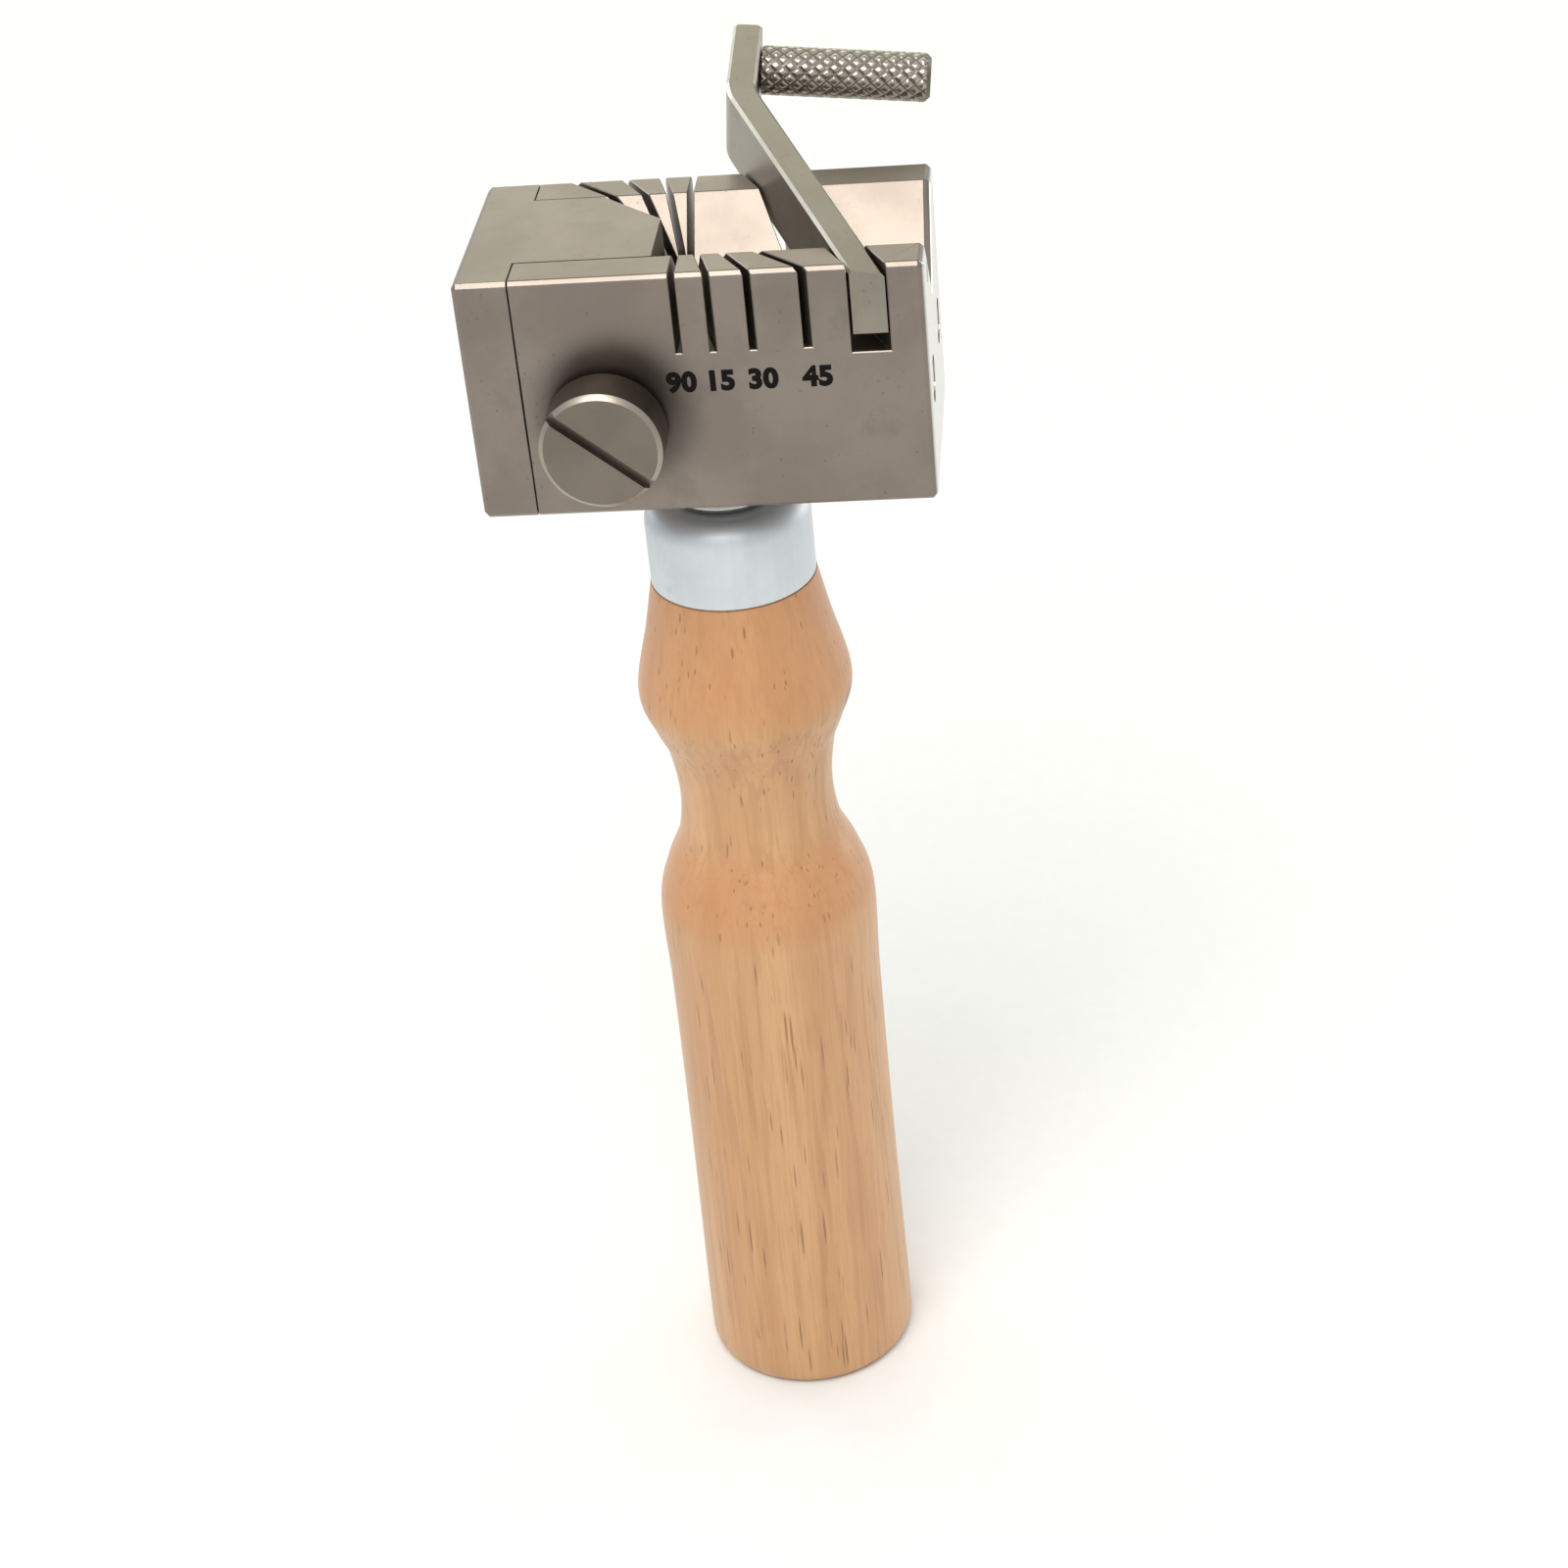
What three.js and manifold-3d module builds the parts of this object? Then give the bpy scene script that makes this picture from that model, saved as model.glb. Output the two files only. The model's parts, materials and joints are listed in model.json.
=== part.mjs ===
// Jeweller's tube and wire cutting jig: a steel block with a V-groove, saw-guide slots, a sliding
// length stop, a lock screw and a clamp lever, carried on a turned wooden handle.
// Millimetres, +Z up. The origin is the centre of the handle's butt, X runs along the groove,
// and the numbered face looks along -Y.
import * as THREE from "three";
import { mergeVertices } from "three/addons/utils/BufferGeometryUtils.js";
import Module from "manifold-3d";

const wasm = await Module();
wasm.setup();

// ---------------------------------------------------------------- driving dimensions
const BLOCK_LENGTH = 45;
const BLOCK_WIDTH = 25;
const BLOCK_HEIGHT = 25;
const BLOCK_CHAMFER = 0.45;
const UNDERSIDE_Z = 117; // underside of the block above the table
const CAP_LENGTH = 5.4; // the end of the block that slides away with the stop
const HAIRLINE = 0.08; // gap between faces that touch on the real tool

const GROOVE_HALF_WIDTH = 7.9; // the groove's sides stand at 45 degrees, so this is its depth too
const GROOVE_FLARE = 0.6; // chamfer round the groove's mouth in the end face

const SAW_SLOT_WIDTH = 0.6;
const SAW_SLOT_DEPTH = 8.15;
const SAW_SLOT_CROSSING_X = -1.35; // all four saw slots cross here, on the block's middle line
const SAW_SLOT_ANGLES = [0, 15, 30, 45];

const LEVER_ANGLE = 25.5; // the lever slot in plan, from the Y axis
const LEVER_SLOT_WIDTH = 3.4;
const LEVER_SLOT_DEPTH = 8.9;
const LEVER_SLOT_FRONT_X = 17.15; // middle of the slot at the front face

const LEVER_RAISED = 15; // degrees above level
const LEVER_THICKNESS = 3;
const LEVER_ABOVE_PIVOT = 3.4;
const LEVER_BELOW_PIVOT = 4.1;
const FRONT_FOOT_BELOW_PIVOT = 3.5; // where the lever's lower edge ends at the front face
const FRONT_CORNER_SLOPE = 0.5;
const PIVOT_INSET = 3; // from the front face, along the slot
const PIVOT_BELOW_TOP = 3.5;
const PIVOT_PIN_RADIUS = 1;
const BEND_FROM_PIVOT = 30.1;
const BEND_RADIUS = 6;
const TAIL_LENGTH = 11.8; // from the bend's corner to the end
const TAIL_CORNER = 0.7;

const THUMB_PIN_RADIUS = 2.5;
const THUMB_PIN_LENGTH = 17.5;
const THUMB_PIN_ALONG_TAIL = 8;
const THUMB_PIN_ABOVE_PIVOT = 0.35;
const SPIGOT_RADIUS = 1.5;

const ROD_RADIUS = 2.25;
const ROD_SPACING = 13.5;
const ROD_ABOVE_UNDERSIDE = 10.3;
const ROD_DEPTH_IN_CAP = 4.2;
const ROD_END_CHAMFER = 0.8;

const TIP_X = -3.65; // the stop's nose: square in front of the tip, at 45 degrees behind it
const TIP_Y = 1.4;

const SCREW_X = -9.1;
const SCREW_ABOVE_UNDERSIDE = 9.6;
const SCREW_HEAD_RADIUS = 6;
const SCREW_HEAD_LENGTH = 5.5;
const SCREW_HEAD_GAP = 0.4;
const SCREW_SHANK_RADIUS = 2.5;
const SCREW_SLOT_WIDTH = 1;
const SCREW_SLOT_DEPTH = 1;
const SCREW_SLOT_ANGLE = -40;
const PAD_RADIUS = 1.9;
const PAD_LENGTH = 1.1;

const FERRULE_RADIUS = 8.65;
const FERRULE_WALL = 0.75;
const FERRULE_LENGTH = 9.4;
const FERRULE_ROUND = 2.5;
const NECK_RADIUS = 5.7;
const NECK_LENGTH = 4.4; // the gap that shows between the ferrule and the block
const STUD_RADIUS = 4;
const STUD_DEPTH = 8;
const TANG_RADIUS = 3.2;
const TANG_LENGTH = 34;

// The turned handle's outline below the ferrule, as radius and height above the table.
const HANDLE_OUTLINE = [
  [8.7, 103.2],
  [9.8, 97.8],
  [11.4, 90.5],
  [10.2, 86.2],
  [9.0, 83],
  [8.3, 77.5],
  [8.85, 72.2],
  [10.6, 68],
  [11.85, 63],
  [11.7, 52],
  [11.75, 30],
  [12, 8],
];
const BUTT_ROUND = 1.6;

const FIT = 0.05; // radial gap of a fixed pin or shank in its hole
const RUNNING_FIT = 0.07; // radial gap of a rod in its bore
const ROUND_SIDES = 32;
const TURNED_SIDES = 40;
const SHOULDER_STEPS = 6;
const BUTT_STEPS = 4;
const HANDLE_STEPS = 26;
const OVERSHOOT = 4; // how far a cutter runs past the faces it opens

// ---------------------------------------------------------------- derived dimensions
const TOP_Z = UNDERSIDE_Z + BLOCK_HEIGHT;
const FRONT_Y = -BLOCK_WIDTH / 2;
const LEFT_X = -BLOCK_LENGTH / 2;
const RIGHT_X = BLOCK_LENGTH / 2;
const SEAM_X = LEFT_X + CAP_LENGTH;
const ROD_Z = UNDERSIDE_Z + ROD_ABOVE_UNDERSIDE;
const SCREW_Z = UNDERSIDE_Z + SCREW_ABOVE_UNDERSIDE;
const FRONT_ROD_Y = -ROD_SPACING / 2;
const FERRULE_TOP_Z = UNDERSIDE_Z - NECK_LENGTH;
const FERRULE_FOOT_Z = FERRULE_TOP_Z - FERRULE_LENGTH;
const leverAngle = THREE.MathUtils.degToRad(LEVER_ANGLE);
const leverRaised = THREE.MathUtils.degToRad(LEVER_RAISED);
const PIVOT = new THREE.Vector3(
  LEVER_SLOT_FRONT_X - PIVOT_INSET * Math.sin(leverAngle),
  FRONT_Y + PIVOT_INSET * Math.cos(leverAngle),
  TOP_Z - PIVOT_BELOW_TOP,
);

// ---------------------------------------------------------------- materials
const steel = new THREE.MeshStandardMaterial({ color: 0x9a948b, roughness: 0.42, metalness: 0.9 });
const groundSteel = new THREE.MeshStandardMaterial({ color: 0xb3ada0, roughness: 0.3, metalness: 0.95 });
const nickel = new THREE.MeshStandardMaterial({ color: 0xb8b09e, roughness: 0.28, metalness: 1 });
const brass = new THREE.MeshStandardMaterial({ color: 0xc9a35a, roughness: 0.35, metalness: 1 });
const plated = new THREE.MeshStandardMaterial({ color: 0xd6dade, roughness: 0.3, metalness: 0.9 });
const beech = new THREE.MeshStandardMaterial({ color: 0xd9a877, roughness: 0.45, metalness: 0 });

// ---------------------------------------------------------------- tools for making solids
function toSolid(geometry) {
  const plain = geometry.clone();
  plain.deleteAttribute("normal");
  plain.deleteAttribute("uv");
  const merged = mergeVertices(plain, 1e-4);
  return new wasm.Manifold(
    new wasm.Mesh({
      numProp: 3,
      vertProperties: merged.attributes.position.array,
      triVerts: new Uint32Array(merged.index.array),
    }),
  );
}

function toGeometry(solid) {
  const made = solid.getMesh();
  const geometry = new THREE.BufferGeometry();
  geometry.setAttribute("position", new THREE.BufferAttribute(made.vertProperties, 3));
  geometry.setIndex(new THREE.BufferAttribute(made.triVerts, 1));
  const flat = geometry.toNonIndexed();
  flat.computeVertexNormals();
  return flat;
}

function namedMesh(name, solid, material) {
  const mesh = new THREE.Mesh(toGeometry(solid), material);
  mesh.name = name;
  return mesh;
}

function outlineOf(points) {
  return new THREE.Shape(points.map(([a, b]) => new THREE.Vector2(a, b)));
}

function extrude(shape, depth, curveSegments = 6) {
  return new THREE.ExtrudeGeometry(shape, { depth, bevelEnabled: false, curveSegments });
}

// Turns an outline drawn in (Y, Z) and extruded along Z into one that runs along X.
function layAlongX(geometry, startX) {
  const turn = new THREE.Matrix4().makeBasis(
    new THREE.Vector3(0, 1, 0),
    new THREE.Vector3(0, 0, 1),
    new THREE.Vector3(1, 0, 0),
  );
  return geometry.applyMatrix4(turn).translate(startX, 0, 0);
}

function rod(radius, length, sides = ROUND_SIDES) {
  return new THREE.CylinderGeometry(radius, radius, length, sides);
}

function rodAlongX(radius, fromX, toX, y, z) {
  return rod(radius, toX - fromX).rotateZ(-Math.PI / 2).translate((fromX + toX) / 2, y, z);
}

function rodAlongY(radius, fromY, toY, x, z) {
  return rod(radius, toY - fromY).translate(x, (fromY + toY) / 2, z);
}

// A turned solid about the Z axis, from an outline of [radius, height] points.
function turned(points, sides) {
  const outline = points.map(([radius, height]) => new THREE.Vector2(radius, height));
  return new THREE.LatheGeometry(outline, sides).rotateX(Math.PI / 2);
}

function arcPoints(centreRadius, centreHeight, radius, fromDegrees, toDegrees, steps) {
  const points = [];
  for (let i = 0; i <= steps; i++) {
    const angle = THREE.MathUtils.degToRad(fromDegrees + ((toDegrees - fromDegrees) * i) / steps);
    points.push([centreRadius + radius * Math.cos(angle), centreHeight + radius * Math.sin(angle)]);
  }
  return points;
}

// ---------------------------------------------------------------- the block and its stop
// The whole bar, before it is parted at the seam, with all its outer edges chamfered.
function chamferedBar() {
  const halfWidth = BLOCK_WIDTH / 2 - BLOCK_CHAMFER;
  const low = UNDERSIDE_Z + BLOCK_CHAMFER;
  const high = TOP_Z - BLOCK_CHAMFER;
  // The bevel of the ends grows the outline, and this corner grows with it to the full chamfer.
  const corner = BLOCK_CHAMFER * (Math.SQRT2 - 1);
  const section = outlineOf([
    [-halfWidth, low + corner],
    [-halfWidth + corner, low],
    [halfWidth - corner, low],
    [halfWidth, low + corner],
    [halfWidth, high - corner],
    [halfWidth - corner, high],
    [-halfWidth + corner, high],
    [-halfWidth, high - corner],
  ]);
  const bar = new THREE.ExtrudeGeometry(section, {
    depth: BLOCK_LENGTH - 2 * BLOCK_CHAMFER,
    bevelThickness: BLOCK_CHAMFER,
    bevelSize: BLOCK_CHAMFER,
    bevelSegments: 1,
  });
  return toSolid(layAlongX(bar, LEFT_X + BLOCK_CHAMFER));
}

// The V of the groove, or of the tongue in it when it is drawn in by a gap.
function vOutline(gap, top) {
  const drawnIn = gap * Math.SQRT2;
  const point = TOP_Z - GROOVE_HALF_WIDTH + drawnIn;
  const half = top - point;
  return outlineOf([
    [0, point],
    [half, top],
    [-half, top],
  ]);
}

function grooveCutter() {
  const top = TOP_Z + OVERSHOOT;
  const run = extrude(vOutline(0, top), BLOCK_LENGTH + OVERSHOOT);
  const mouth = new THREE.ExtrudeGeometry(vOutline(0, top), {
    depth: OVERSHOOT,
    bevelThickness: GROOVE_FLARE,
    bevelSize: GROOVE_FLARE,
    bevelSegments: 1,
  });
  return toSolid(layAlongX(run, SEAM_X - OVERSHOOT)).add(toSolid(layAlongX(mouth, RIGHT_X)));
}

// A slot cut down from the top through both walls, leaning back to the left by an angle in plan.
function slotCutter(width, degrees, middleX, depth) {
  const cutter = new THREE.BoxGeometry(width, 3 * BLOCK_WIDTH, depth + OVERSHOOT);
  cutter.rotateZ(THREE.MathUtils.degToRad(degrees));
  return toSolid(cutter.translate(middleX, 0, TOP_Z + (OVERSHOOT - depth) / 2));
}

function pivotBore(radius, fromX, toX) {
  const bore = rodAlongX(radius, fromX, toX, 0, 0);
  return toSolid(bore.rotateZ(leverAngle).translate(...PIVOT.toArray()));
}

// Where the pivot's line meets the right-hand end face, and how far it runs past the slot's left.
const PIVOT_PIN_RIGHT = (RIGHT_X - PIVOT.x) / Math.cos(leverAngle);
const PIVOT_PIN_LEFT = -3.7;

function jigBody() {
  const keep = new THREE.BoxGeometry(BLOCK_LENGTH, 2 * BLOCK_WIDTH, 2 * BLOCK_HEIGHT);
  let body = chamferedBar().intersect(
    toSolid(keep.translate(SEAM_X + HAIRLINE / 2 + BLOCK_LENGTH / 2, 0, ROD_Z)),
  );
  body = body.subtract(grooveCutter());
  for (const angle of SAW_SLOT_ANGLES) {
    body = body.subtract(slotCutter(SAW_SLOT_WIDTH, angle, SAW_SLOT_CROSSING_X, SAW_SLOT_DEPTH));
  }
  const leverSlotMiddleX = LEVER_SLOT_FRONT_X + FRONT_Y * Math.tan(leverAngle);
  body = body.subtract(slotCutter(LEVER_SLOT_WIDTH, LEVER_ANGLE, leverSlotMiddleX, LEVER_SLOT_DEPTH));
  for (const side of [-1, 1]) {
    const y = side * FRONT_ROD_Y;
    body = body.subtract(
      toSolid(rodAlongX(ROD_RADIUS + RUNNING_FIT, SEAM_X - OVERSHOOT, RIGHT_X + OVERSHOOT, y, ROD_Z)),
    );
  }
  const screwBoreRadius = SCREW_SHANK_RADIUS + 2 * FIT;
  const screwBore = rodAlongY(screwBoreRadius, FRONT_Y - OVERSHOOT, FRONT_ROD_Y, SCREW_X, SCREW_Z);
  body = body.subtract(toSolid(screwBore));
  const pinBoreRadius = PIVOT_PIN_RADIUS + FIT;
  body = body.subtract(pivotBore(pinBoreRadius, PIVOT_PIN_LEFT - FIT, PIVOT_PIN_RIGHT + OVERSHOOT));
  const studBore = rod(STUD_RADIUS + FIT, 2 * (STUD_DEPTH + FIT)).rotateX(Math.PI / 2);
  return body.subtract(toSolid(studBore.translate(0, 0, UNDERSIDE_Z)));
}

// The cap at the left of the seam, with its tongue, which fills the groove up to the saw slots.
function slideStop() {
  const keep = new THREE.BoxGeometry(BLOCK_LENGTH, 2 * BLOCK_WIDTH, 2 * BLOCK_HEIGHT);
  const cap = chamferedBar().intersect(
    toSolid(keep.translate(SEAM_X - HAIRLINE / 2 - BLOCK_LENGTH / 2, 0, ROD_Z)),
  );
  const rootX = SEAM_X - CAP_LENGTH / 2;
  const nose = outlineOf([
    [rootX, -BLOCK_WIDTH],
    [TIP_X, -BLOCK_WIDTH],
    [TIP_X, TIP_Y],
    [rootX, TIP_Y + TIP_X - rootX],
  ]);
  const plan = toSolid(extrude(nose, BLOCK_HEIGHT).translate(0, 0, UNDERSIDE_Z));
  const tongue = toSolid(layAlongX(extrude(vOutline(HAIRLINE, TOP_Z), BLOCK_LENGTH), rootX));
  let stop = cap.add(tongue.intersect(plan));
  const socketFloorX = SEAM_X - ROD_DEPTH_IN_CAP;
  for (const side of [-1, 1]) {
    const y = side * FRONT_ROD_Y;
    stop = stop.subtract(toSolid(rodAlongX(ROD_RADIUS + FIT, socketFloorX, SEAM_X + OVERSHOOT, y, ROD_Z)));
  }
  return stop;
}

// A rod from its socket in the cap to its chamfered end, just inside the block's right-hand face.
function guideRod(y) {
  const endGap = 0.1;
  const startX = SEAM_X - ROD_DEPTH_IN_CAP + endGap;
  const length = RIGHT_X - endGap - startX;
  const guide = turned(
    [
      [0, 0],
      [ROD_RADIUS, 0],
      [ROD_RADIUS, length - ROD_END_CHAMFER],
      [ROD_RADIUS - ROD_END_CHAMFER, length],
      [0, length],
    ],
    ROUND_SIDES,
  );
  return toSolid(guide.rotateY(Math.PI / 2).translate(startX, y, ROD_Z));
}

// ---------------------------------------------------------------- the lock screw
const PAD_FRONT_Y = FRONT_ROD_Y - ROD_RADIUS - FIT - PAD_LENGTH;
const SCREW_TIP_Y = PAD_FRONT_Y - FIT;

function lockScrew() {
  const headBackY = FRONT_Y - SCREW_HEAD_GAP;
  const headFrontY = headBackY - SCREW_HEAD_LENGTH;
  const edge = 0.5;
  const head = turned(
    [
      [0, 0],
      [SCREW_HEAD_RADIUS - edge, 0],
      [SCREW_HEAD_RADIUS, edge],
      [SCREW_HEAD_RADIUS, SCREW_HEAD_LENGTH - edge],
      [SCREW_HEAD_RADIUS - edge, SCREW_HEAD_LENGTH],
      [0, SCREW_HEAD_LENGTH],
    ],
    TURNED_SIDES,
  );
  head.rotateX(-Math.PI / 2).translate(SCREW_X, headFrontY, SCREW_Z);
  const shank = rodAlongY(SCREW_SHANK_RADIUS, headBackY - edge, SCREW_TIP_Y, SCREW_X, SCREW_Z);
  const slot = new THREE.BoxGeometry(3 * SCREW_HEAD_RADIUS, 2 * SCREW_SLOT_DEPTH, SCREW_SLOT_WIDTH);
  slot.rotateY(THREE.MathUtils.degToRad(-SCREW_SLOT_ANGLE)).translate(SCREW_X, headFrontY, SCREW_Z);
  return toSolid(head).add(toSolid(shank)).subtract(toSolid(slot));
}

function lockPad() {
  return toSolid(rodAlongY(PAD_RADIUS, PAD_FRONT_Y, PAD_FRONT_Y + PAD_LENGTH, SCREW_X, SCREW_Z));
}

// ---------------------------------------------------------------- the clamp lever
// The lever is drawn level, with its pivot at (0, 0, 0), its arm along +Y and its tail bent to +X.
const TAIL_FORWARD = new THREE.Vector2(Math.sin(leverAngle), Math.cos(leverAngle));
const TAIL_LEFT = new THREE.Vector2(-Math.cos(leverAngle), Math.sin(leverAngle));

function leverPlan() {
  const half = LEVER_THICKNESS / 2;
  const setback = BEND_RADIUS * Math.tan(leverAngle / 2);
  const bendY = BEND_FROM_PIVOT - setback;
  const straight = TAIL_LENGTH - setback;
  const tailEnd = (side, back) =>
    new THREE.Vector2(BEND_RADIUS, bendY)
      .addScaledVector(TAIL_LEFT, BEND_RADIUS + side)
      .addScaledVector(TAIL_FORWARD, straight - back);
  const leftCorner = tailEnd(half, 0);
  const rightCorner = tailEnd(-half, 0);
  const plan = new THREE.Shape();
  plan.moveTo(half, -BLOCK_WIDTH);
  plan.lineTo(half, bendY);
  plan.absarc(BEND_RADIUS, bendY, BEND_RADIUS - half, Math.PI, Math.PI - leverAngle, true);
  plan.lineTo(...tailEnd(-half, TAIL_CORNER).toArray());
  plan.quadraticCurveTo(...rightCorner.toArray(), ...tailEnd(TAIL_CORNER - half, 0).toArray());
  plan.lineTo(...tailEnd(half - TAIL_CORNER, 0).toArray());
  plan.quadraticCurveTo(...leftCorner.toArray(), ...tailEnd(half, TAIL_CORNER).toArray());
  plan.absarc(BEND_RADIUS, bendY, BEND_RADIUS + half, Math.PI - leverAngle, Math.PI, false);
  plan.lineTo(-half, -BLOCK_WIDTH);
  return plan;
}

// The lever's place on the tool: turned into its slot, and raised about the pivot.
const leverPlace = new THREE.Group();
leverPlace.position.copy(PIVOT);
leverPlace.rotation.set(leverRaised, 0, leverAngle, "ZYX");
leverPlace.updateMatrix();

// Its front end is ground flush with the block's face while it stands raised.
function frontTrim() {
  const trim = new THREE.BoxGeometry(2 * BLOCK_LENGTH, BLOCK_WIDTH, 4 * BLOCK_HEIGHT);
  trim.translate(0, FRONT_Y - BLOCK_WIDTH / 2, TOP_Z);
  return toSolid(trim.applyMatrix4(leverPlace.matrix.clone().invert()));
}

// The lower front corner slopes up to that end, so that it clears the slot's floor as the lever swings.
function frontCorner() {
  const foot = PIVOT.z - FRONT_FOOT_BELOW_PIVOT;
  const rise = FRONT_CORNER_SLOPE * OVERSHOOT;
  const corner = outlineOf([
    [FRONT_Y - OVERSHOOT, foot + rise],
    [FRONT_Y - OVERSHOOT, foot - 2 * rise],
    [FRONT_Y + 2 * OVERSHOOT, foot - 2 * rise],
  ]);
  const wedge = layAlongX(extrude(corner, 2 * BLOCK_LENGTH), -BLOCK_LENGTH);
  return toSolid(wedge.applyMatrix4(leverPlace.matrix.clone().invert()));
}

function alongTail(geometry) {
  return geometry.rotateZ(-leverAngle).translate(0, BEND_FROM_PIVOT, 0);
}

function clampLever() {
  const height = LEVER_ABOVE_PIVOT + LEVER_BELOW_PIVOT;
  const bar = extrude(leverPlan(), height).translate(0, 0, -LEVER_BELOW_PIVOT);
  const pivotHole = rodAlongX(PIVOT_PIN_RADIUS + 2 * FIT, -BLOCK_WIDTH, BLOCK_WIDTH, 0, 0);
  const reach = LEVER_THICKNESS;
  const holeRadius = SPIGOT_RADIUS + FIT;
  const pinHole = rodAlongX(holeRadius, -reach, reach, THUMB_PIN_ALONG_TAIL, THUMB_PIN_ABOVE_PIVOT);
  return toSolid(bar)
    .subtract(frontCorner())
    .subtract(frontTrim())
    .subtract(toSolid(pivotHole))
    .subtract(toSolid(alongTail(pinHole)));
}

function thumbPin() {
  const edge = 0.5;
  const half = LEVER_THICKNESS / 2;
  const pin = turned(
    [
      [0, -half],
      [SPIGOT_RADIUS, -half],
      [SPIGOT_RADIUS, half + FIT],
      [THUMB_PIN_RADIUS, half + FIT],
      [THUMB_PIN_RADIUS, half + THUMB_PIN_LENGTH - edge],
      [THUMB_PIN_RADIUS - edge, half + THUMB_PIN_LENGTH],
      [0, half + THUMB_PIN_LENGTH],
    ],
    ROUND_SIDES,
  );
  pin.rotateY(Math.PI / 2).translate(0, THUMB_PIN_ALONG_TAIL, THUMB_PIN_ABOVE_PIVOT);
  return toSolid(alongTail(pin));
}

// The pin is ground off flush with the block's end face.
function leverPivotPin() {
  const block = new THREE.BoxGeometry(2 * BLOCK_LENGTH, 2 * BLOCK_WIDTH, 2 * BLOCK_HEIGHT);
  const pin = pivotBore(PIVOT_PIN_RADIUS, PIVOT_PIN_LEFT, PIVOT_PIN_RIGHT + OVERSHOOT);
  return pin.intersect(toSolid(block.translate(RIGHT_X - FIT - BLOCK_LENGTH, 0, TOP_Z)));
}

// ---------------------------------------------------------------- the handle
function tangStud() {
  return toSolid(
    turned(
      [
        [0, FERRULE_TOP_Z - TANG_LENGTH],
        [TANG_RADIUS / 2, FERRULE_TOP_Z - TANG_LENGTH],
        [TANG_RADIUS, FERRULE_TOP_Z - TANG_LENGTH / 2],
        [TANG_RADIUS, FERRULE_TOP_Z + FIT],
        [NECK_RADIUS, FERRULE_TOP_Z + FIT],
        [NECK_RADIUS, UNDERSIDE_Z - FIT],
        [STUD_RADIUS, UNDERSIDE_Z - FIT],
        [STUD_RADIUS, UNDERSIDE_Z + STUD_DEPTH - FIT],
        [0, UNDERSIDE_Z + STUD_DEPTH - FIT],
      ],
      ROUND_SIDES,
    ),
  );
}

// The ferrule's round shoulder, or the one at a depth inside it.
function shoulderArc(depth, fromDegrees, toDegrees) {
  const middleRadius = FERRULE_RADIUS - FERRULE_ROUND;
  const middleHeight = FERRULE_TOP_Z - FERRULE_ROUND;
  const radius = FERRULE_ROUND - depth;
  return arcPoints(middleRadius, middleHeight, radius, fromDegrees, toDegrees, SHOULDER_STEPS);
}

// A drawn cup with a rounded shoulder, and a hole in its top for the tang.
function ferrule() {
  const inner = FERRULE_RADIUS - FERRULE_WALL;
  const ceiling = FERRULE_TOP_Z - FERRULE_WALL;
  const hole = TANG_RADIUS + 2 * FIT;
  return toSolid(
    turned(
      [
        [inner, FERRULE_FOOT_Z],
        [FERRULE_RADIUS, FERRULE_FOOT_Z],
        ...shoulderArc(0, 0, 90),
        [hole, FERRULE_TOP_Z],
        [hole, ceiling],
        ...shoulderArc(FERRULE_WALL, 90, 0),
        [inner, FERRULE_FOOT_Z],
      ],
      TURNED_SIDES,
    ),
  );
}

function handleOutline() {
  const outline = HANDLE_OUTLINE.map(([radius, height]) => new THREE.Vector2(radius, height));
  return new THREE.SplineCurve(outline).getPoints(HANDLE_STEPS).map((point) => [point.x, point.y]);
}

function woodenHandle() {
  const tenonDepth = FERRULE_WALL + FIT;
  const [buttRadius] = HANDLE_OUTLINE[HANDLE_OUTLINE.length - 1];
  const butt = arcPoints(buttRadius - BUTT_ROUND, BUTT_ROUND, BUTT_ROUND, 0, -90, BUTT_STEPS);
  const down = [
    [0, FERRULE_TOP_Z - tenonDepth],
    ...shoulderArc(tenonDepth, 90, 0),
    [FERRULE_RADIUS - tenonDepth, HANDLE_OUTLINE[0][1]],
    ...handleOutline(),
    ...butt,
    [0, 0],
  ];
  const wood = toSolid(turned(down.reverse(), TURNED_SIDES));
  const tangHole = turned(
    [
      [0, FERRULE_TOP_Z - TANG_LENGTH - 2 * FIT],
      [TANG_RADIUS / 2 + 2 * FIT, FERRULE_TOP_Z - TANG_LENGTH - 2 * FIT],
      [TANG_RADIUS + 2 * FIT, FERRULE_TOP_Z - TANG_LENGTH / 2],
      [TANG_RADIUS + 2 * FIT, UNDERSIDE_Z],
      [0, UNDERSIDE_Z],
    ],
    ROUND_SIDES,
  );
  return wood.subtract(toSolid(tangHole));
}

// ---------------------------------------------------------------- the assembly
const jig = new THREE.Group();
jig.add(namedMesh("jig_body", jigBody(), steel));
jig.add(namedMesh("lever_pivot_pin", leverPivotPin(), groundSteel));
jig.add(namedMesh("tang_stud", tangStud(), steel));
jig.add(namedMesh("ferrule", ferrule(), plated));
jig.add(namedMesh("handle", woodenHandle(), beech));

const stop = new THREE.Group();
stop.add(namedMesh("slide_stop", slideStop(), steel));
stop.add(namedMesh("guide_rod_front", guideRod(FRONT_ROD_Y), groundSteel));
stop.add(namedMesh("guide_rod_back", guideRod(-FRONT_ROD_Y), groundSteel));

const lock = new THREE.Group();
lock.add(namedMesh("lock_screw", lockScrew(), steel));
lock.add(namedMesh("lock_pad", lockPad(), brass));

leverPlace.add(namedMesh("clamp_lever", clampLever(), groundSteel));
leverPlace.add(namedMesh("thumb_pin", thumbPin(), nickel));

const cuttingJig = new THREE.Group();
cuttingJig.add(jig, stop, lock, leverPlace);
export default cuttingJig;
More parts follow.
